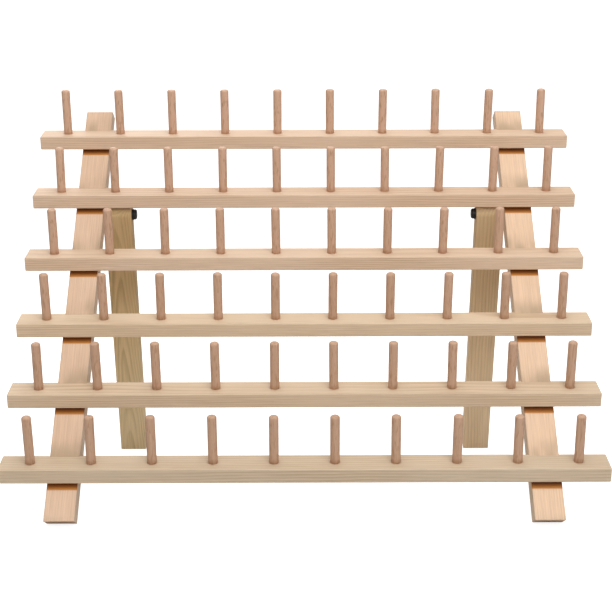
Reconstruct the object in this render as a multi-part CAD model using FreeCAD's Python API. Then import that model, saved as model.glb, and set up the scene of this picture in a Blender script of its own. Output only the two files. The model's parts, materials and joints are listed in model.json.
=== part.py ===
import FreeCAD, Part
import math
import os

# Free-standing spool rack: two uprights lean back, six slanted rails carry the pegs,
# and two rear legs swing on side screws just under the second rail from the top.
# Millimetres. X runs along the rails, Y points to the back, Z is up.
# The origin is on the table, under the middle of the whole stand.

# Pegs
peg_pitch = 40.0
pegs_per_rail = 10
peg_diameter = 6.3
peg_standing_height = 34.0
peg_hole_depth = 7.0
peg_tenon_diameter = 5.0
peg_shoulder_gap = 0.1
peg_tip_round = 2.2
peg_glue_gap = 0.03
peg_end_gap = 0.2

# Rails
rail_count = 6
rail_length = peg_pitch * pegs_per_rail
rail_depth = 21.0
rail_height = 10.0
rail_spacing = 56.0
rail_edge_round = 0.8
rail_back_overlap = 2.5
rail_glue_gap = 0.03

# Uprights
upright_width = 20.0
upright_thickness = 13.0
upright_centre_x = 158.5
upright_below_rail = 46.0
upright_above_rail = 19.0
upright_end_slant = 18.0
upright_edge_round = 0.6

# Angles, in degrees
lean_angle = 40.0
rail_to_upright_angle = 54.0
leg_spread_angle = 60.0

# Legs
leg_width = 20.0
leg_thickness = 13.0
leg_side_gap = 0.5
leg_stop_gap = 0.35
leg_edge_round = 0.6

# Pivot screws and washers
pivot_diameter = 5.0
pivot_leg_clearance = 0.06
pivot_upright_clearance = 0.02
pivot_grip = 14.0
pivot_head_diameter = 7.6
pivot_head_height = 2.4
pivot_head_round = 1.2
pivot_slot_width = 1.2
pivot_slot_depth = 0.45
pivot_depth = 7.0
washer_diameter = 8.4
washer_thickness = 0.8
washer_side_gap = 0.3
seat_gap = 0.02

# Screws that hold the rails from behind
rail_screw_diameter = 3.0
rail_screw_head_diameter = 6.0
rail_screw_length = 16.0
rail_screw_tip_length = 3.0
rail_screw_tip_radius = 0.3
rail_screw_clearance = 0.02

lean = math.radians(lean_angle)
rail_angle = math.radians(rail_to_upright_angle)
rail_tilt = rail_angle - lean
leg_angle = math.radians(leg_spread_angle) - lean
slant_rise = upright_thickness * math.tan(math.radians(upright_end_slant))
upright_length = upright_below_rail + rail_spacing * (rail_count - 1) + upright_above_rail

# Unit directions
x_dir = FreeCAD.Vector(1, 0, 0)
upright_up = FreeCAD.Vector(0, math.sin(lean), math.cos(lean))
upright_back = FreeCAD.Vector(0, math.cos(lean), -math.sin(lean))
rail_back = FreeCAD.Vector(0, math.cos(rail_tilt), math.sin(rail_tilt))
rail_up = FreeCAD.Vector(0, -math.sin(rail_tilt), math.cos(rail_tilt))
leg_down = FreeCAD.Vector(0, math.sin(leg_angle), -math.cos(leg_angle))
leg_front = FreeCAD.Vector(0, -math.cos(leg_angle), -math.sin(leg_angle))

# Pivot of the legs, placed so that the leg top just clears the rail above it.
pivot_row = 2
leg_half = leg_thickness / 2.0
pivot_drop = leg_half + leg_stop_gap + rail_height
pivot_along = (
    upright_below_rail
    + rail_spacing * (rail_count - pivot_row)
    - (pivot_drop - pivot_depth * math.sin(rail_angle)) / math.cos(rail_angle)
)
pivot_offset = upright_up * pivot_along + upright_back * pivot_depth

# The uprights rest on their back lower edges and the legs on their front lower edges.
front_bottom_z = upright_thickness * math.sin(lean) - slant_rise * math.cos(lean)
pivot_z = front_bottom_z + pivot_offset.z
leg_length = (pivot_z + leg_half * leg_front.z) / -leg_down.z
stand_depth = pivot_offset.y + leg_down.y * leg_length - leg_front.y * leg_half
front_bottom = FreeCAD.Vector(0, -stand_depth / 2.0, front_bottom_z)
pivot = front_bottom + pivot_offset


def on_upright(along, behind, x=0.0):
    """Point at a height along the uprights and a depth behind their front faces."""
    return front_bottom + upright_up * along + upright_back * behind + x_dir * x


def rail_corner(row):
    """Where the top face of a rail meets the front faces of the uprights."""
    return on_upright(upright_below_rail + rail_spacing * (rail_count - row), 0.0)


def on_rail(row, back, up, x=0.0):
    """Point behind and above the meeting line of one rail."""
    return rail_corner(row) + rail_back * back + rail_up * up + x_dir * x


def prism(corners, x_start, x_end):
    """Solid with the given side outline, from one X to another."""
    points = [FreeCAD.Vector(x_start, p.y, p.z) for p in corners]
    face = Part.Face(Part.makePolygon(points + [points[0]]))
    return face.extrude(FreeCAD.Vector(x_end - x_start, 0, 0))


def round_long_edges(solid, radius):
    """Round the edges that run the length of a straight piece."""
    longest = max(edge.Length for edge in solid.Edges)
    edges = [edge for edge in solid.Edges if edge.Length > 0.9 * longest]
    return solid.makeFillet(radius, edges)


def rod(base, direction, radius, length):
    """Plain cylinder from a base point."""
    return Part.makeCylinder(radius, length, base, direction)


def save(name, solids):
    """Write one node, as one solid or as several separate solids."""
    shape = solids[0] if len(solids) == 1 else Part.makeCompound(solids)
    shape.exportStep("parts/" + name + ".step")


rail_front = rail_back_overlap - rail_depth
peg_row = rail_front + rail_depth / 2.0
peg_columns = [peg_pitch * (i - (pegs_per_rail - 1) / 2.0) for i in range(pegs_per_rail)]
rail_rows = range(1, rail_count + 1)


def rail_block(row, gap=0.0, x_start=-rail_length / 2.0, x_end=rail_length / 2.0):
    """Square-edged bar of one rail, grown by a gap on its long faces."""
    outline = [
        on_rail(row, rail_front - gap, -rail_height - gap),
        on_rail(row, rail_back_overlap + gap, -rail_height - gap),
        on_rail(row, rail_back_overlap + gap, gap),
        on_rail(row, rail_front - gap, gap),
    ]
    return prism(outline, x_start, x_end)


def rail_screw_axis(row, x):
    """Head centre of a rail screw on the back face of an upright."""
    middle = on_rail(row, peg_row, -rail_height / 2.0)
    along = (middle - front_bottom).dot(upright_up)
    return on_upright(along, upright_thickness, x)


def rail_screw(row, x, gap=0.0):
    """Countersunk screw, or the hole for it when a gap is given."""
    head = rail_screw_axis(row, x)
    inward = upright_back * -1.0
    radius = rail_screw_diameter / 2.0 + gap
    head_radius = rail_screw_head_diameter / 2.0 + gap
    straight = rail_screw_length - rail_screw_tip_length + gap
    sink = head_radius - radius
    shank = rod(head, inward, radius, straight)
    cone = Part.makeCone(head_radius, radius, sink, head, inward)
    tip_start = head + inward * straight
    tip = Part.makeCone(radius, rail_screw_tip_radius, rail_screw_tip_length, tip_start, inward)
    return shank.fuse([cone, tip]).removeSplitter()


def make_upright(side):
    """Slanted-end upright with rail notches, screw holes and the pivot hole."""
    x_mid = side * upright_centre_x
    x_start = x_mid - upright_width / 2.0
    x_end = x_mid + upright_width / 2.0
    outline = [
        on_upright(0.0, 0.0),
        on_upright(slant_rise, upright_thickness),
        on_upright(upright_length + slant_rise, upright_thickness),
        on_upright(upright_length, 0.0),
    ]
    body = round_long_edges(prism(outline, x_start, x_end), upright_edge_round)
    for row in rail_rows:
        body = body.cut(rail_block(row, rail_glue_gap, x_start - 1.0, x_end + 1.0))
        body = body.cut(rail_screw(row, x_mid, rail_screw_clearance))
    inner_x = x_mid - side * upright_width / 2.0
    hole_start = pivot + x_dir * (inner_x - side * 1.0)
    hole_radius = pivot_diameter / 2.0 + pivot_upright_clearance
    hole = rod(hole_start, x_dir * side, hole_radius, pivot_grip + 1.0 + seat_gap)
    return body.cut(hole)


def make_rail(row):
    """Rail bar with blind peg holes and screw pilot holes."""
    block = rail_block(row)
    body = block.makeFillet(rail_edge_round, block.Edges)
    hole_radius = peg_tenon_diameter / 2.0 + peg_glue_gap
    for x in peg_columns:
        start = on_rail(row, peg_row, -peg_hole_depth - peg_end_gap, x)
        body = body.cut(rod(start, rail_up, hole_radius, peg_hole_depth + peg_end_gap + 1.0))
    for side in (-1, 1):
        body = body.cut(rail_screw(row, side * upright_centre_x, rail_screw_clearance))
    return body


def make_peg(row, x):
    """Round peg with a rounded tip, and a thinner tenon glued into its hole."""
    shoulder = on_rail(row, peg_row, peg_shoulder_gap, x)
    standing = peg_standing_height - peg_shoulder_gap
    peg = rod(shoulder, rail_up, peg_diameter / 2.0, standing)
    tip = on_rail(row, peg_row, peg_standing_height, x)
    tip_edges = [e for e in peg.Edges if (e.CenterOfMass - tip).Length < 0.01]
    peg = peg.makeFillet(peg_tip_round, tip_edges)
    foot = on_rail(row, peg_row, -peg_hole_depth, x)
    tenon = rod(foot, rail_up, peg_tenon_diameter / 2.0, peg_hole_depth + peg_shoulder_gap)
    return peg.fuse(tenon).removeSplitter()


def make_leg(side):
    """Leg with a rounded front corner and a flat stop at its top, and a pivot hole."""
    outer_x = side * (upright_centre_x - upright_width / 2.0 - leg_side_gap)
    inner_x = outer_x - side * leg_width
    x_start = min(outer_x, inner_x)
    shift = x_dir * x_start
    base = pivot + leg_down * leg_length
    front_low = base + leg_front * leg_half + shift
    back_low = base - leg_front * leg_half + shift
    front_high = pivot + leg_front * leg_half + shift
    top_mid = pivot + rail_up * leg_half + shift
    bend_mid = pivot + (leg_front + rail_up).normalize() * leg_half + shift
    rise = leg_half * (1.0 + leg_front.dot(rail_up)) / -leg_down.dot(rail_up)
    back_high = pivot - leg_front * leg_half - leg_down * rise + shift
    edges = [
        Part.makeLine(front_low, front_high),
        Part.Arc(front_high, bend_mid, top_mid).toShape(),
        Part.makeLine(top_mid, back_high),
        Part.makeLine(back_high, back_low),
        Part.makeLine(back_low, front_low),
    ]
    profile = Part.Face(Part.Wire(edges)).extrude(x_dir * leg_width)
    stock_top = leg_down * -leg_thickness * 2.0
    stock = prism(
        [front_low, front_high + stock_top, back_high + stock_top, back_low],
        x_start,
        x_start + leg_width,
    )
    body = round_long_edges(stock, leg_edge_round).common(profile)
    hole_radius = pivot_diameter / 2.0 + pivot_leg_clearance
    return body.cut(rod(pivot + x_dir * (x_start - 1.0), x_dir, hole_radius, leg_width + 2.0))


def pivot_face_x():
    """X of the inner face of a leg, for the right-hand side."""
    return upright_centre_x - upright_width / 2.0 - leg_side_gap - leg_width


def make_washer(side):
    """Flat washer between the leg and the screw head."""
    outer_x = side * (pivot_face_x() - washer_side_gap)
    start = pivot + x_dir * outer_x
    disc = rod(start, x_dir * -side, washer_diameter / 2.0, washer_thickness)
    bore = rod(start, x_dir * -side, pivot_diameter / 2.0 + seat_gap, washer_thickness)
    return disc.cut(bore)


def make_pivot_screw(side):
    """Round-headed screw: head inside, plain shank through the leg, end in the upright."""
    head_x = side * (pivot_face_x() - washer_side_gap - washer_thickness - seat_gap)
    end_x = side * (upright_centre_x - upright_width / 2.0 + pivot_grip)
    outward = x_dir * side
    under_head = pivot + x_dir * head_x
    shank = rod(under_head, outward, pivot_diameter / 2.0, abs(end_x - head_x))
    head = rod(under_head, outward * -1.0, pivot_head_diameter / 2.0, pivot_head_height)
    crown = under_head - outward * pivot_head_height
    crown_edges = [e for e in head.Edges if (e.CenterOfMass - crown).Length < 0.01]
    head = head.makeFillet(pivot_head_round, crown_edges)
    slot_length = pivot_head_diameter + 2.0
    slot = Part.makeBox(pivot_slot_depth * 2.0, pivot_slot_width, slot_length)
    slot.translate(FreeCAD.Vector(-pivot_slot_depth, -pivot_slot_width / 2.0, -slot_length / 2.0))
    slot.translate(crown)
    return shank.fuse(head).cut(slot).removeSplitter()


os.makedirs("parts", exist_ok=True)

for row in rail_rows:
    save("rail_" + str(row), [make_rail(row)])
    save("pegs_row_" + str(row), [make_peg(row, x) for x in peg_columns])

for side, name in ((-1, "left"), (1, "right")):
    save("upright_" + name, [make_upright(side)])
    save("leg_" + name, [make_leg(side)])
    save("pivot_screw_" + name, [make_pivot_screw(side)])
    save("washer_" + name, [make_washer(side)])
    screws = [rail_screw(row, side * upright_centre_x) for row in rail_rows]
    save("rail_screws_" + name, screws)
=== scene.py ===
import bpy
import bmesh
import json
import math
import random
from mathutils import Matrix, Vector


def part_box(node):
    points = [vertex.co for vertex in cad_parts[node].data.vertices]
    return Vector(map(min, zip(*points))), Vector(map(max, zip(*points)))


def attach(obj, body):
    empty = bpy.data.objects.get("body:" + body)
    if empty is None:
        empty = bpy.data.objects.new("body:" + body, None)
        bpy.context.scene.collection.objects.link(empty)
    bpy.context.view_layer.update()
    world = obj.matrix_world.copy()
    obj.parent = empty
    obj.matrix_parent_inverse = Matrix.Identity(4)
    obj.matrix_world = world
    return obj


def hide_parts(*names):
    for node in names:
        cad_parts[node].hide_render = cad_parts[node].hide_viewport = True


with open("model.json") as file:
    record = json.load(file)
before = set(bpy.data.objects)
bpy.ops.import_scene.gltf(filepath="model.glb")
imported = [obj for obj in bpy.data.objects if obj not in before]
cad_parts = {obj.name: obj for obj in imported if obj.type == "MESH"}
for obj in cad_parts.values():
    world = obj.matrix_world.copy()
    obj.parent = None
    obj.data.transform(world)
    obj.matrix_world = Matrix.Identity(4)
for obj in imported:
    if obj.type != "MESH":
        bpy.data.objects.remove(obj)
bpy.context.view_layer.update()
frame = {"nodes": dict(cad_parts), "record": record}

nodes = frame["nodes"]
mounts = {m["name"]: m for m in frame["record"]["mounts"]}
print("frame loaded,", len(nodes), "nodes")

quarterTurn = math.radians(90.0)
pegRows = {"rows": 6, "count": 10, "pitch": 0.040}
railSection = {"halfDepth": 0.0105, "height": 0.010}
leanBack = math.radians(40.0)  # uprights
legLean = math.radians(20.0)

# The rails tip forward, the uprights lean back and the legs lean the other way.
railUp = Vector(mounts["spool_peg_top_left"]["axis"]).normalized()
railTilt = math.atan2(-railUp.y, railUp.z)
railBack = Vector((0.0, math.cos(railTilt), math.sin(railTilt)))
uprightUp = Vector((0.0, math.sin(leanBack), math.cos(leanBack)))
uprightBack = Vector((0.0, math.cos(leanBack), -math.sin(leanBack)))
legBack = Vector((0.0, math.cos(legLean), math.sin(legLean)))

# The low front edge of the bottom rail comes from the place of its first peg.
bottomPeg = mounts["spool_peg_bottom_left"]
halfPeg = bottomPeg["dims"]["length_mm"] / 1000.0 / 2.0
bottomSeat = Vector(bottomPeg["pos_m"]) - railUp * halfPeg
lowEdge = bottomSeat - railBack * railSection["halfDepth"] - railUp * railSection["height"]


def middleOf(node):
    low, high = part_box(node)
    return (low + high) / 2.0


railSpacing = (middleOf("rail_5") - middleOf("rail_6")).length


def addNode(tree, kind, **values):
    node = tree.nodes.new(kind)
    for name, value in values.items():
        setattr(node, name, value)
    return node


# A number or tuple is set on the socket, and another node's output is linked to it.
def feed(tree, socket, value):
    if isinstance(value, tuple) and socket.type == "RGBA":
        socket.default_value = (*value, 1.0)
    elif isinstance(value, (int, float, tuple)):
        socket.default_value = value
    else:
        tree.links.new(value, socket)


def mathNode(tree, operation, first, second=None):
    node = addNode(tree, "ShaderNodeMath", operation=operation)
    feed(tree, node.inputs[0], first)
    if second is not None:
        feed(tree, node.inputs[1], second)
    return node.outputs[0]


def mapRange(tree, value, low, high, toLow=0.0, toHigh=1.0, smooth=True):
    node = addNode(tree, "ShaderNodeMapRange")
    node.interpolation_type = "SMOOTHSTEP" if smooth else "LINEAR"
    for i, number in enumerate((value, low, high, toLow, toHigh)):
        feed(tree, node.inputs[i], number)
    return node.outputs[0]


def mixColor(tree, factor, first, second, blend="MIX"):
    node = addNode(tree, "ShaderNodeMix", data_type="RGBA", blend_type=blend)
    for i, value in ((0, factor), (6, first), (7, second)):
        feed(tree, node.inputs[i], value)
    return node.outputs[2]


def splitVector(tree, vector):
    node = addNode(tree, "ShaderNodeSeparateXYZ")
    feed(tree, node.inputs[0], vector)
    return node.outputs


def joinVector(tree, *parts):
    node = addNode(tree, "ShaderNodeCombineXYZ")
    for i, part in enumerate(parts):
        feed(tree, node.inputs[i], part)
    return node.outputs[0]


def noise(tree, vector, scale, detail=3.0, roughness=0.5):
    node = addNode(tree, "ShaderNodeTexNoise")
    for label, value in (("Scale", scale), ("Detail", detail), ("Roughness", roughness)):
        feed(tree, node.inputs[label], value)
    feed(tree, node.inputs["Vector"], vector)
    return node.outputs[0]


# Noise that is drawn out along a piece; the stretch is in ripples per metre on each axis.
def drawnNoise(tree, vector, stretch, detail, roughness=0.5):
    node = addNode(tree, "ShaderNodeVectorMath", operation="MULTIPLY")
    feed(tree, node.inputs[0], vector)
    feed(tree, node.inputs[1], stretch)
    return noise(tree, node.outputs[0], 1.0, detail, roughness)


def lengthOf(tree, first, second):
    squares = [mathNode(tree, "MULTIPLY", side, side) for side in (first, second)]
    return mathNode(tree, "SQRT", mathNode(tree, "ADD", *squares))


# Inputs map a label to its default: a number, a colour of three, or None for a vector.
def newGroup(name, inputs, outputs):
    tree = bpy.data.node_groups.new(name, "ShaderNodeTree")
    for label, value in inputs.items():
        kind = "Vector" if value is None else "Color" if isinstance(value, tuple) else "Float"
        socket = tree.interface.new_socket(label, in_out="INPUT", socket_type="NodeSocket" + kind)
        if value is not None:
            socket.default_value = (*value, 1.0) if kind == "Color" else value
    for label, kind in outputs.items():
        tree.interface.new_socket(label, in_out="OUTPUT", socket_type="NodeSocket" + kind)
    entry = tree.nodes.new("NodeGroupInput")
    leave = tree.nodes.new("NodeGroupOutput")
    return tree, entry.outputs, leave.inputs


def placeGroup(tree, group, values):
    node = addNode(tree, "ShaderNodeGroup", node_tree=group)
    for label, value in values.items():
        feed(tree, node.inputs[label], value)
    return node.outputs


def newMaterial(name):
    material = bpy.data.materials.new(name)
    material.use_nodes = True
    tree = material.node_tree
    return material, tree, tree.nodes["Principled BSDF"]


def addBump(tree, skin, height, look):
    bump = addNode(tree, "ShaderNodeBump")
    feed(tree, bump.inputs["Strength"], look["bump"])
    feed(tree, bump.inputs["Distance"], look["bumpDepth"])
    feed(tree, bump.inputs["Height"], height)
    feed(tree, skin.inputs["Normal"], bump.outputs[0])


def wear(piece, material):
    piece.data.materials.clear()
    piece.data.materials.append(material)


woodFigure = {
    "bend": (5.0, 22.0, 22.0), "bendGain": 6.0,
    "ripple": (18.0, 160.0, 160.0), "rippleDepth": 0.0012,
    "patches": (7.0, 60.0, 60.0), "patchRange": (0.3, 0.7), "patchLeast": 0.35,
    "fibre": (45.0, 2400.0, 2400.0), "fibreRoughness": 0.6,
    "cloud": (9.0, 40.0, 40.0), "ringStart": 0.25, "ringPeak": 0.86,
    "ringHeight": 0.35, "fibreHeight": 0.65,
}


# Sawn softwood: growth rings round a far pith, fine fibres and slow cloudy colour.
def makeWoodGrain(figure):
    tree, given, result = newGroup(
        "woodGrain",
        {
            "Vector": None, "Pith Y": 0.03, "Pith Z": -0.03, "Ring Spacing": 0.002,
            "Wobble": 0.002, "Taper": 0.0, "Seed": 0.0,
        },
        {"Rings": "Float", "Fibre": "Float", "Cloud": "Float", "Height": "Float"},
    )
    x, y, z = splitVector(tree, given["Vector"])
    place = joinVector(tree, mathNode(tree, "ADD", x, given["Seed"]), y, z)
    bend = mathNode(tree, "SUBTRACT", drawnNoise(tree, place, figure["bend"], 2.0), 0.5)
    bend = mathNode(tree, "MULTIPLY", bend, given["Wobble"])
    bend = mathNode(tree, "MULTIPLY", bend, figure["bendGain"])
    ripple = mathNode(tree, "SUBTRACT", drawnNoise(tree, place, figure["ripple"], 2.0), 0.5)
    ripple = mathNode(tree, "MULTIPLY", ripple, figure["rippleDepth"])
    fromY = mathNode(tree, "SUBTRACT", y, given["Pith Y"])
    fromZ = mathNode(tree, "SUBTRACT", z, given["Pith Z"])
    distance = mathNode(tree, "ADD", lengthOf(tree, fromY, fromZ), bend)
    distance = mathNode(tree, "ADD", distance, ripple)
    distance = mathNode(tree, "ADD", distance, mathNode(tree, "MULTIPLY", x, given["Taper"]))
    year = mathNode(tree, "FRACT", mathNode(tree, "DIVIDE", distance, given["Ring Spacing"]))
    rising = mapRange(tree, year, figure["ringStart"], figure["ringPeak"])
    falling = mapRange(tree, year, figure["ringPeak"], 1.0, 1.0, 0.0)
    rings = mathNode(tree, "MULTIPLY", rising, falling)
    patches = drawnNoise(tree, place, figure["patches"], 1.0)
    patches = mapRange(tree, patches, *figure["patchRange"], figure["patchLeast"], 1.0)
    rings = mathNode(tree, "MULTIPLY", rings, patches)
    fibre = drawnNoise(tree, place, figure["fibre"], 3.0, figure["fibreRoughness"])
    ringHeight = mathNode(tree, "MULTIPLY", rings, figure["ringHeight"])
    fibreHeight = mathNode(tree, "MULTIPLY", fibre, figure["fibreHeight"])
    feed(tree, result["Rings"], rings)
    feed(tree, result["Fibre"], fibre)
    feed(tree, result["Cloud"], drawnNoise(tree, place, figure["cloud"], 2.0))
    feed(tree, result["Height"], mathNode(tree, "ADD", ringHeight, fibreHeight))
    return tree


paintedShadowCloud = {"stretch": (30.0, 90.0, 90.0), "range": (0.35, 0.6), "least": 0.35}


# Painted shadow: in the tight corner under each rail, where the rail casts its shadow, an upright is
# painted near black at the rail and orange at the lower edge; just above the next rail it gets a
# lighter painted shade.
def makeRailPaintedShadow(cloud):
    tree, given, result = newGroup(
        "underRailPaintedShadow",
        {
            "Vector": None, "Color": (0.7, 0.5, 0.35), "Start": 0.0, "Spacing": 0.05,
            "Face Near": 0.0, "Face Far": 0.001, "Fade Start": 0.0, "Fade End": 0.008,
            "Edge Start": 0.006, "Edge End": 0.008, "Shade Start": 0.02, "Shade End": 0.04,
            "Shade": 0.8, "Dark": (0.2, 0.05, 0.0), "Bright": (0.6, 0.2, 0.0),
            "Shade Color": (0.5, 0.35, 0.2),
        },
        {"Color": "Color"},
    )
    place = splitVector(tree, given["Vector"])
    along = mathNode(tree, "SUBTRACT", given["Start"], place[0])
    step = mathNode(tree, "FRACT", mathNode(tree, "DIVIDE", along, given["Spacing"]))
    below = mathNode(tree, "MULTIPLY", step, given["Spacing"])
    face = mapRange(tree, place[1], given["Face Near"], given["Face Far"], 1.0, 0.0)
    patches = drawnNoise(tree, given["Vector"], cloud["stretch"], 2.0)
    patches = mapRange(tree, patches, *cloud["range"], cloud["least"], 1.0)
    shade = mapRange(tree, below, given["Shade Start"], given["Shade End"], 0.0, given["Shade"])
    shade = mathNode(tree, "MULTIPLY", mathNode(tree, "MULTIPLY", shade, patches), face)
    color = mixColor(tree, shade, given["Color"], given["Shade Color"])
    fade = mapRange(tree, below, given["Fade Start"], given["Fade End"])
    tone = mixColor(tree, fade, given["Dark"], given["Bright"])
    edge = mapRange(tree, below, given["Edge Start"], given["Edge End"], 1.0, 0.0)
    shadowedColor = mixColor(tree, mathNode(tree, "MULTIPLY", edge, face), color, tone)
    feed(tree, result["Color"], shadowedColor)
    return tree


sideFaceTurn = {"from": 0.5, "full": 0.9}  # how far a surface faces sideways


# Faces that point sideways are mixed towards a greyer side tone.
def makeSideFaceTone(turn):
    tree, given, result = newGroup(
        "sideFaceTone",
        {"Normal": None, "Color": (0.7, 0.5, 0.35), "Side Tone": (0.6, 0.5, 0.4), "Share": 0.5},
        {"Color": "Color"},
    )
    sideways = mathNode(tree, "ABSOLUTE", splitVector(tree, given["Normal"])[0])
    mask = mapRange(tree, sideways, turn["from"], turn["full"], 0.0, given["Share"])
    feed(tree, result["Color"], mixColor(tree, mask, given["Color"], given["Side Tone"]))
    return tree


pegSeat = {"inner": 0.0030, "outer": 0.0048, "share": 0.55}


# Painted shade: the rail is darker right round the foot of each peg, where the peg shades it.
def makePegSeatShade(seat, pitch):
    tree, given, result = newGroup(
        "pegSeatShade",
        {"Vector": None, "Color": (0.7, 0.5, 0.35), "Seat Tone": (0.5, 0.3, 0.2), "Seat Y": 0.0},
        {"Color": "Color"},
    )
    place = splitVector(tree, given["Vector"])
    acrossX = mathNode(tree, "FRACT", mathNode(tree, "DIVIDE", place[0], pitch))
    acrossX = mathNode(tree, "MULTIPLY", mathNode(tree, "SUBTRACT", acrossX, 0.5), pitch)
    acrossY = mathNode(tree, "SUBTRACT", place[1], given["Seat Y"])
    away = lengthOf(tree, acrossX, acrossY)
    ring = mapRange(tree, away, seat["inner"], seat["outer"], seat["share"], 0.0)
    feed(tree, result["Color"], mixColor(tree, ring, given["Color"], given["Seat Tone"]))
    return tree


# The reach of the painted light on the open end of each leg.
paintedLightReach = 0.13  # how far up the grain of a leg its pale end reaches


# Painted light: the open ends of the legs are painted paler than the upper parts, standing in for the
# light that reaches them below the shadow of the rack.
def makeLegEndPaintedLight(reach):
    tree, given, result = newGroup(
        "legEndPaintedLight",
        {"Vector": None, "Color": (0.7, 0.5, 0.35), "Gain": (1.0, 1.0, 1.0)},
        {"Color": "Color"},
    )
    mask = mapRange(tree, splitVector(tree, given["Vector"])[0], 0.0, reach, 1.0, 0.0)
    litColor = mixColor(tree, 1.0, given["Color"], given["Gain"], "MULTIPLY")
    feed(tree, result["Color"], mixColor(tree, mask, given["Color"], litColor))
    return tree


woodGrain = makeWoodGrain(woodFigure)
railPaintedShadow = makeRailPaintedShadow(paintedShadowCloud)
sideFaceTone = makeSideFaceTone(sideFaceTurn)
pegSeatShade = makePegSeatShade(pegSeat, pegRows["pitch"])
legEndPaintedLight = makeLegEndPaintedLight(paintedLightReach)


# Object coordinates turned so that X runs along the grain of a piece.
def grainPlace(tree, turns):
    place = addNode(tree, "ShaderNodeTexCoord").outputs["Object"]
    for turn in turns:
        node = addNode(tree, "ShaderNodeVectorRotate", rotation_type="EULER_XYZ")
        feed(tree, node.inputs["Rotation"], turn)
        feed(tree, node.inputs["Vector"], place)
        place = node.outputs[0]
    return place


pineFinish = {
    "cloudRange": (0.35, 0.7), "paleShare": 0.5, "fibreRange": (0.25, 0.75),
    "fibreShade": (0.88, 1.07), "heightRange": (0.1, 0.9), "rougher": 0.08, "smoother": 0.06,
    "specular": 0.35, "bump": 0.22, "bumpDepth": 0.0004,
}


# Each piece of pine: early wood, late wood, a pale tone and where its pith lies.
def pineMaterial(name, look, turns):
    material, tree, skin = newMaterial(name)
    place = grainPlace(tree, turns)
    grain = placeGroup(tree, woodGrain, {
        "Vector": place, "Pith Y": look["pith"][0], "Pith Z": look["pith"][1],
        "Seed": look["seed"], "Ring Spacing": look["ringSpacing"],
        "Wobble": look["wobble"], "Taper": look["taper"],
    })
    rings = mathNode(tree, "MULTIPLY", grain["Rings"], look["ringStrength"])
    color = mixColor(tree, rings, look["early"], look["late"])
    cloud = mapRange(tree, grain["Cloud"], *pineFinish["cloudRange"])
    cloud = mathNode(tree, "MULTIPLY", cloud, pineFinish["paleShare"])
    color = mixColor(tree, cloud, color, look["pale"])
    fibre = mapRange(tree, grain["Fibre"], *pineFinish["fibreRange"], *pineFinish["fibreShade"])
    shade = addNode(tree, "ShaderNodeCombineColor")
    for channel in shade.inputs:
        feed(tree, channel, fibre)
    color = mixColor(tree, 1.0, color, shade.outputs[0], "MULTIPLY")
    if "sides" in look:
        normal = addNode(tree, "ShaderNodeNewGeometry").outputs["Normal"]
        color = placeGroup(tree, sideFaceTone, {"Normal": normal, "Color": color, **look["sides"]})[0]
    # Painted shadow under the rails, painted shade round the peg seats and painted light on the leg
    # ends are each on some of the pieces only.
    for label, group in (("paintedShadow", railPaintedShadow), ("seats", pegSeatShade), ("foot", legEndPaintedLight)):
        if label in look:
            color = placeGroup(tree, group, {"Vector": place, "Color": color, **look[label]})[0]
    feed(tree, skin.inputs["Base Color"], color)
    rough = mapRange(
        tree, grain["Height"], *pineFinish["heightRange"],
        look["roughness"] + pineFinish["rougher"], look["roughness"] - pineFinish["smoother"],
    )
    feed(tree, skin.inputs["Roughness"], rough)
    feed(tree, skin.inputs["Specular IOR Level"], pineFinish["specular"])
    addBump(tree, skin, grain["Height"], pineFinish)
    return material


def tinted(look, tint):
    tones = ("early", "late", "pale")
    return {tone: tuple(c * t for c, t in zip(look[tone], tint)) for tone in tones}


railLook = {
    "early": (0.76, 0.575, 0.41), "late": (0.57, 0.385, 0.24), "pale": (0.81, 0.64, 0.48),
    "ringSpacing": 0.0017, "wobble": 0.0009, "taper": 0.0,
    "ringStrength": 0.78, "roughness": 0.62,
}
# Painted shade: the lower rails are tinted darker, standing in for the light that falls off down the
# rack.
railShadeTints = [  # from the top rail down
    (0.99, 0.96, 0.96), (0.99, 0.96, 0.96), (0.99, 0.97, 0.97),
    (0.97, 0.98, 0.95), (0.93, 0.94, 0.92), (0.86, 0.89, 0.88),
]
# The pith lies a little differently in each rail, so no two show the same rings.
railPith = {"y": 0.006, "z": -0.060, "swingY": 0.004, "swingZ": 0.01, "turnY": 2.1, "turnZ": 1.7}
railSeedStep = 1.37
railTurns = [(-railTilt, 0.0, 0.0)]
for number, tint in enumerate(railShadeTints, start=1):
    look = dict(railLook, **tinted(railLook, tint), seed=railSeedStep * number)
    look["pith"] = (
        railPith["y"] + railPith["swingY"] * math.sin(number * railPith["turnY"]),
        railPith["z"] - railPith["swingZ"] * math.cos(number * railPith["turnZ"]),
    )
    # Painted shade round the foot of each peg on this rail, in the rail's late wood colour.
    seat = bottomSeat + uprightUp * railSpacing * (pegRows["rows"] - number)
    look["seats"] = {"Seat Y": seat.dot(railBack), "Seat Tone": look["late"]}
    wear(nodes["rail_%d" % number], pineMaterial("railPine%d" % number, look, railTurns))

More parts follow.
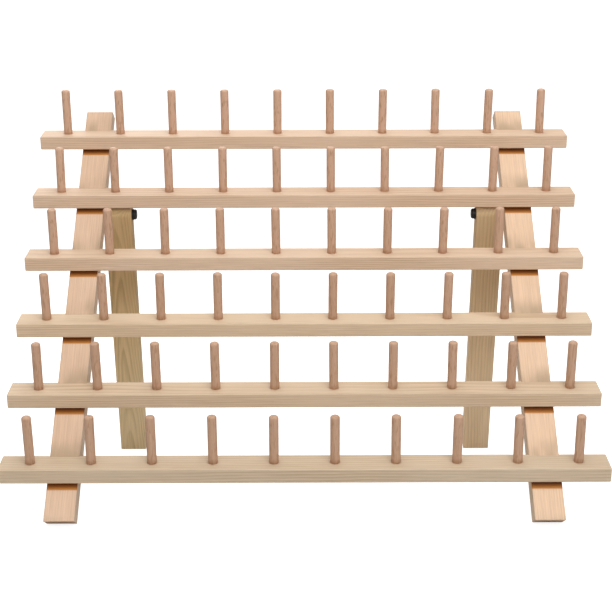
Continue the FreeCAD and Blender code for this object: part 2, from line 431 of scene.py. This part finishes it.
# All in metres, for the painted shadow under each rail. Above and behind are measured from a rail's low
# front edge; the shade's start and end are how far each falls short of the clear gap down to the next
# rail.
paintedShadowShape = {
    "above": 0.0038, "behind": 0.0033, "skin": 0.0003, "length": 0.0071,
    "fadeStart": 0.0026, "fadePast": 0.001, "edgeBefore": 0.0008, "edgePast": 0.0006,
    "shadeStart": 0.0164, "shadeEnd": 0.0014,
}
paintedShadowDepth = lowEdge.dot(uprightBack) + paintedShadowShape["behind"]
clearGap = railSpacing - railSection["height"] / railUp.dot(uprightUp)
underRail = {
    "Start": lowEdge.dot(uprightUp) + paintedShadowShape["above"], "Spacing": railSpacing,
    "Face Near": paintedShadowDepth, "Face Far": paintedShadowDepth + paintedShadowShape["skin"],
    "Fade Start": paintedShadowShape["fadeStart"],
    "Fade End": paintedShadowShape["length"] + paintedShadowShape["fadePast"],
    "Edge Start": paintedShadowShape["length"] - paintedShadowShape["edgeBefore"],
    "Edge End": paintedShadowShape["length"] + paintedShadowShape["edgePast"],
    "Shade Start": clearGap - paintedShadowShape["shadeStart"],
    "Shade End": clearGap - paintedShadowShape["shadeEnd"], "Shade": 0.85,
    "Dark": (0.17, 0.045, 0.003), "Bright": (0.58, 0.22, 0.03),
    "Shade Color": (0.46, 0.33, 0.215),
}
uprightLook = {
    "early": (0.72, 0.515, 0.36), "late": (0.60, 0.40, 0.25), "pale": (0.76, 0.56, 0.405),
    "ringSpacing": 0.0016, "wobble": 0.0005, "taper": 0.0, "ringStrength": 0.4,
    "roughness": 0.6, "pithDepth": 0.012, "pithAside": 0.055,
    "sides": {"Side Tone": (0.66, 0.54, 0.41), "Share": 0.6}, "paintedShadow": underRail,
}
uprightTints = {"left": (1.03, 1.0, 1.0), "right": (1.13, 1.12, 1.10)}
# Each leg has its own grain; the left leg's tones are also set darker than the right's, a painted shade
# for the shadow that falls on it.
legLooks = {
    "left": {
        "early": (0.57, 0.385, 0.185), "late": (0.33, 0.21, 0.08), "pale": (0.63, 0.45, 0.24),
        "ringSpacing": 0.0014, "wobble": 0.0012, "taper": 0.035, "ringStrength": 0.7,
        "roughness": 0.66, "pithDepth": 0.002, "pithAside": -0.002,
        # Gain of the painted light on this leg's open end.
        "foot": {"Gain": (1.36, 1.50, 1.75)},
    },
    "right": {
        "early": (0.63, 0.44, 0.245), "late": (0.39, 0.25, 0.12), "pale": (0.69, 0.505, 0.31),
        "ringSpacing": 0.0017, "wobble": 0.0012, "taper": 0.01, "ringStrength": 0.42,
        "roughness": 0.66, "pithDepth": 0.016, "pithAside": 0.022,
        # Gain of the painted light on this leg's open end.
        "foot": {"Gain": (1.40, 1.48, 1.64)},
    },
}
boardSeeds = {"upright": {"left": 3.1, "right": 7.7}, "leg": {"left": 5.1, "right": 9.7}}


# The grain of an upright or a leg runs up its length, and its pith lies to one side.
def finishBoard(board, side, look, back, lean):
    inward = 1.0 if side == "left" else -1.0
    node = "%s_%s" % (board, side)
    middle = middleOf(node)
    pith = (middle.dot(back) + look["pithDepth"], -middle.x - inward * look["pithAside"])
    look = dict(look, pith=pith, seed=boardSeeds[board][side])
    turns = [(lean, 0.0, 0.0), (0.0, quarterTurn, 0.0)]
    wear(nodes[node], pineMaterial(board + "Pine" + side.title(), look, turns))


for side in ("left", "right"):
    look = dict(uprightLook, **tinted(uprightLook, uprightTints[side]))
    finishBoard("upright", side, look, uprightBack, leanBack)
    finishBoard("leg", side, legLooks[side], legBack, -legLean)
print("pine pieces done")

pegShape = {
    "radius": 0.00315, "height": 0.034, "hole": 0.007, "buried": 0.0068, "segments": 36,
    "footShare": 0.95, "shoulder": 0.00004, "shaftSteps": 8, "wave": 0.004, "waveTurn": 1.3,
    "tipRound": 0.0017, "tipSteps": 7, "tipSquash": 0.86, "crownShare": 0.45, "crownRise": 0.875,
    "lean": 0.8, "sideways": 0.55, "forward": 0.5, "roundLeast": 0.85, "roundMost": 1.1,
    "seed": 19,
}
pegLook = {
    "plain": (0.55, 0.34, 0.225), "dark": (0.41, 0.23, 0.135), "pale": (0.62, 0.40, 0.275),
    "paintedLightTone": (0.73, 0.47, 0.33), "paintedLightFrom": 0.10, "paintedLightFull": 0.27, "paintedLightShare": 0.6,
    "rowDepth": 0.03, "toneShare": 0.28,
    "fibre": (1700.0, 1700.0, 45.0), "fibreRoughness": 0.6, "fibreRange": (0.3, 0.75),
    "fleck": (900.0, 900.0, 160.0), "fleckRange": (0.54, 0.70), "fleckShare": 0.65,
    "roughRange": (0.2, 0.8), "roughness": (0.44, 0.6), "specular": 0.4,
    "bump": 0.15, "bumpDepth": 0.0003,
}


# Outline of one peg from its foot to the rim of the small flat on its rounded tip.
def pegOutline(shape, roundness):
    radius = shape["radius"]
    outline = [(radius * shape["footShare"], -shape["buried"]), (radius * shape["footShare"], 0.0)]
    outline.append((radius, shape["shoulder"]))
    top = shape["height"] - roundness
    for i in range(1, shape["shaftSteps"] + 1):
        wave = 1.0 - shape["wave"] * math.sin(i * shape["waveTurn"])
        outline.append((radius * wave, top * i / shape["shaftSteps"]))
    flat = radius - roundness
    for i in range(1, shape["tipSteps"] + 1):
        angle = quarterTurn * i / shape["tipSteps"]
        rise = roundness * math.sin(angle) * shape["tipSquash"]
        outline.append((flat + roundness * math.cos(angle), top + rise))
    outline.append((flat * shape["crownShare"], top + roundness * shape["crownRise"]))
    return outline


def addPeg(mesh, shape, foot, chance):
    lean = math.radians(shape["lean"])
    sideways = Matrix.Rotation(chance.gauss(0.0, shape["sideways"]) * lean, 4, "Y")
    forward = Matrix.Rotation(chance.gauss(0.0, shape["forward"]) * lean, 4, "X")
    upright = Matrix.Rotation(railTilt, 4, "X")
    place = Matrix.Translation(foot) @ upright @ (sideways @ forward)
    roundness = shape["tipRound"] * chance.uniform(shape["roundLeast"], shape["roundMost"])
    rings = []
    for radius, height in pegOutline(shape, roundness):
        ring = []
        for i in range(shape["segments"]):
            angle = 2.0 * math.pi * i / shape["segments"]
            point = Vector((radius * math.cos(angle), radius * math.sin(angle), height))
            ring.append(mesh.verts.new(place @ point))
        rings.append(ring)
    for low, high in zip(rings, rings[1:]):
        for i in range(shape["segments"]):
            j = (i + 1) % shape["segments"]
            mesh.faces.new((low[i], low[j], high[j], high[i]))
    mesh.faces.new(list(reversed(rings[0])))
    mesh.faces.new(rings[-1])


# Turned beech: pale fibres, dark flecks, and each peg a little lighter or darker; the pegs of the upper
# rows are painted paler as painted light.
def beechMaterial(look):
    material, tree, skin = newMaterial("beechDowel")
    place = grainPlace(tree, railTurns)
    parts = splitVector(tree, place)
    column = mathNode(tree, "FLOOR", mathNode(tree, "DIVIDE", parts[0], pegRows["pitch"]))
    row = mathNode(tree, "FLOOR", mathNode(tree, "DIVIDE", parts[1], look["rowDepth"]))
    tone = addNode(tree, "ShaderNodeTexWhiteNoise", noise_dimensions="2D")
    feed(tree, tone.inputs["Vector"], joinVector(tree, column, row))
    fibre = drawnNoise(tree, place, look["fibre"], 3.0, look["fibreRoughness"])
    fleck = drawnNoise(tree, place, look["fleck"], 1.0)
    fibreShare = mapRange(tree, fibre, *look["fibreRange"])
    color = mixColor(tree, fibreShare, look["pale"], look["plain"])
    toneShare = mathNode(tree, "MULTIPLY", tone.outputs[0], look["toneShare"])
    color = mixColor(tree, toneShare, color, look["dark"])
    # Painted light: pegs high on the rack are painted paler, for the stronger light up there.
    litUpper = mapRange(
        tree, parts[2], look["paintedLightFrom"], look["paintedLightFull"], 0.0, look["paintedLightShare"]
    )
    color = mixColor(tree, litUpper, color, look["paintedLightTone"])
    flecks = mapRange(tree, fleck, *look["fleckRange"], 0.0, look["fleckShare"])
    feed(tree, skin.inputs["Base Color"], mixColor(tree, flecks, color, look["dark"]))
    rough = mapRange(tree, fibre, *look["roughRange"], *look["roughness"])
    feed(tree, skin.inputs["Roughness"], rough)
    feed(tree, skin.inputs["Specular IOR Level"], look["specular"])
    addBump(tree, skin, fibre, look)
    return material


beech = beechMaterial(pegLook)
chance = random.Random(pegShape["seed"])
for number in range(1, pegRows["rows"] + 1):
    # A peg stands up by its height and is buried by the depth of its hole.
    middle = middleOf("pegs_row_%d" % number)
    foot = middle - railUp * (pegShape["height"] - pegShape["hole"]) / 2.0
    mesh = bmesh.new()
    for i in range(pegRows["count"]):
        x = pegRows["pitch"] * (i - (pegRows["count"] - 1) / 2.0)
        addPeg(mesh, pegShape, Vector((x, foot.y, foot.z)), chance)
    bmesh.ops.recalc_face_normals(mesh, faces=mesh.faces)
    data = bpy.data.meshes.new("dowels_%d" % number)
    mesh.to_mesh(data)
    mesh.free()
    for face in data.polygons:
        face.use_smooth = len(face.vertices) == 4
    row = bpy.data.objects.new("dowels_%d" % number, data)
    bpy.context.scene.collection.objects.link(row)
    row.data.materials.append(beech)
    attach(row, "frame")
    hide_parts("pegs_row_%d" % number)
print("pegs done")

metalFinish = {
    "lift": 1.5, "liftLeast": 0.004, "toneRange": (0.35, 0.7), "roughRange": (0.2, 0.8),
    "smoother": 0.08, "rougher": 0.1, "bump": 0.1, "bumpDepth": 0.0002,
}
blackLook = {"color": (0.012, 0.012, 0.013), "metallic": 0.3, "roughness": 0.42, "grit": 900.0}
zincLook = {"color": (0.46, 0.46, 0.44), "metallic": 1.0, "roughness": 0.35, "grit": 1200.0}


# Fine grit that lightens, dulls and roughens bare or blackened steel.
def makeMetalGrit(finish):
    tree, given, result = newGroup(
        "metalGrit",
        {
            "Vector": None, "Grit": 1000.0, "Color": (0.5, 0.5, 0.5),
            "Light Color": (0.7, 0.7, 0.7), "Smooth": 0.3, "Rough": 0.5,
        },
        {"Color": "Color", "Roughness": "Float", "Height": "Float"},
    )
    fine = noise(tree, given["Vector"], given["Grit"])
    share = mapRange(tree, fine, *finish["toneRange"])
    rough = mapRange(tree, fine, *finish["roughRange"], given["Smooth"], given["Rough"])
    feed(tree, result["Color"], mixColor(tree, share, given["Color"], given["Light Color"]))
    feed(tree, result["Roughness"], rough)
    feed(tree, result["Height"], fine)
    return tree


metalGrit = makeMetalGrit(metalFinish)


def metalMaterial(name, look):
    material, tree, skin = newMaterial(name)
    lift, least = metalFinish["lift"], metalFinish["liftLeast"]
    grit = placeGroup(tree, metalGrit, {
        "Vector": addNode(tree, "ShaderNodeTexCoord").outputs["Object"], "Grit": look["grit"],
        "Color": look["color"], "Light Color": tuple(min(1.0, c * lift + least) for c in look["color"]),
        "Smooth": look["roughness"] - metalFinish["smoother"],
        "Rough": look["roughness"] + metalFinish["rougher"],
    })
    feed(tree, skin.inputs["Base Color"], grit["Color"])
    feed(tree, skin.inputs["Roughness"], grit["Roughness"])
    feed(tree, skin.inputs["Metallic"], look["metallic"])
    addBump(tree, skin, grit["Height"], metalFinish)
    return material


blackSteel = metalMaterial("blackSteel", blackLook)
zincSteel = metalMaterial("zincSteel", zincLook)
for side in ("left", "right"):
    wear(nodes["pivot_screw_" + side], blackSteel)
    wear(nodes["washer_" + side], blackSteel)
    wear(nodes["rail_screws_" + side], zincSteel)
print("metal done")

stageLook = {
    "width": 5.0, "front": -2.5, "back": 1.6, "rise": 2.6, "curve": 0.9, "steps": 16,
    "color": (0.64, 0.64, 0.64), "roughness": 0.9, "specular": 0.1, "glow": 0.80,
}


# One sheet of pale board: a flat floor that curves up into the backdrop.
def makeStage(look):
    outline = [(look["front"], 0.0)]
    for i in range(look["steps"] + 1):
        angle = quarterTurn * i / look["steps"]
        outline.append((
            look["back"] + look["curve"] * math.sin(angle),
            look["curve"] * (1.0 - math.cos(angle)),
        ))
    outline.append((look["back"] + look["curve"], look["rise"]))
    mesh = bmesh.new()
    rows = []
    for y, z in outline:
        rows.append([mesh.verts.new((x, y, z)) for x in (-look["width"] / 2.0, look["width"] / 2.0)])
    for low, high in zip(rows, rows[1:]):
        face = mesh.faces.new((low[0], low[1], high[1], high[0]))
        face.smooth = True
    data = bpy.data.meshes.new("studioSweep")
    mesh.to_mesh(data)
    mesh.free()
    sweep = bpy.data.objects.new("studioSweep", data)
    bpy.context.scene.collection.objects.link(sweep)
    material, tree, skin = newMaterial("paleSweep")
    feed(tree, skin.inputs["Base Color"], look["color"])
    feed(tree, skin.inputs["Roughness"], look["roughness"])
    feed(tree, skin.inputs["Specular IOR Level"], look["specular"])
    feed(tree, skin.inputs["Emission Color"], (1.0, 1.0, 1.0))
    seen = addNode(tree, "ShaderNodeLightPath").outputs["Is Camera Ray"]
    glow = mathNode(tree, "MULTIPLY", seen, look["glow"])
    feed(tree, skin.inputs["Emission Strength"], glow)
    sweep.data.materials.append(material)


makeStage(stageLook)

lampSettings = {
    "overhead": {
        "place": (0.05, -0.70, 1.90), "aim": (0.0, 0.0, 0.14), "size": 1.0, "power": 16.5,
        "color": (1.0, 0.985, 0.965),
    },
    "front": {
        "place": (0.45, -1.6, 0.95), "aim": (0.0, 0.0, 0.24), "size": 1.1, "power": 11.6,
        "color": (1.0, 0.99, 0.98),
    },
    "rear": {
        "place": (-0.35, 1.25, 1.0), "aim": (0.0, 0.0, 0.10), "size": 0.6, "power": 5.0,
        "color": (1.0, 0.99, 0.98),
    },
    "sweepTop": {
        "place": (0.0, 1.3, 1.7), "aim": (0.0, 1.5, 0.0), "size": 2.0, "power": 10.0,
        "color": (1.0, 1.0, 1.0),
    },
}
for name, lamp in lampSettings.items():
    data = bpy.data.lights.new(name, "AREA")
    data.size = lamp["size"]
    data.energy = lamp["power"]
    data.color = lamp["color"]
    light = bpy.data.objects.new(name, data)
    bpy.context.scene.collection.objects.link(light)
    light.location = lamp["place"]
    light.visible_camera = False
    ahead = Vector(lamp["aim"]) - light.location
    light.rotation_euler = ahead.to_track_quat("-Z", "Y").to_euler()

roomLight = {"falling": 0.36, "seen": 1.0}
world = bpy.data.worlds.new("softRoom")
world.use_nodes = True
room = world.node_tree
sky = room.nodes["Background"]
seen = addNode(room, "ShaderNodeLightPath").outputs["Is Camera Ray"]
strength = mapRange(room, seen, 0.0, 1.0, roomLight["falling"], roomLight["seen"], smooth=False)
feed(room, sky.inputs["Color"], (1.0, 1.0, 1.0))
feed(room, sky.inputs["Strength"], strength)
bpy.context.scene.world = world
bpy.context.scene.view_settings.view_transform = "Standard"

cameraSettings = {
    "place": (0.0009, -0.9987, 0.2527), "down": 7.04, "turn": 0.025, "roll": -0.166,
    "lens": 82.35, "sensor": 36.0, "near": 0.05, "far": 20.0,
}


def makeCamera(look):
    down, turn, roll = (math.radians(look[k]) for k in ("down", "turn", "roll"))
    level = math.cos(down)
    ahead = Vector((math.sin(turn) * level, math.cos(turn) * level, -math.sin(down)))
    right = Vector((math.cos(turn), -math.sin(turn), 0.0))
    upward = right.cross(ahead)
    across = right * math.cos(roll) + upward * math.sin(roll)
    raised = upward * math.cos(roll) - right * math.sin(roll)
    data = bpy.data.cameras.new("camera")
    data.lens = look["lens"]
    data.sensor_width = look["sensor"]
    data.clip_start = look["near"]
    data.clip_end = look["far"]
    camera = bpy.data.objects.new("camera", data)
    bpy.context.scene.collection.objects.link(camera)
    turnMatrix = Matrix((across, raised, -ahead)).transposed().to_4x4()
    camera.matrix_world = Matrix.Translation(Vector(look["place"])) @ turnMatrix
    bpy.context.scene.camera = camera


makeCamera(cameraSettings)
print("stage and camera done")
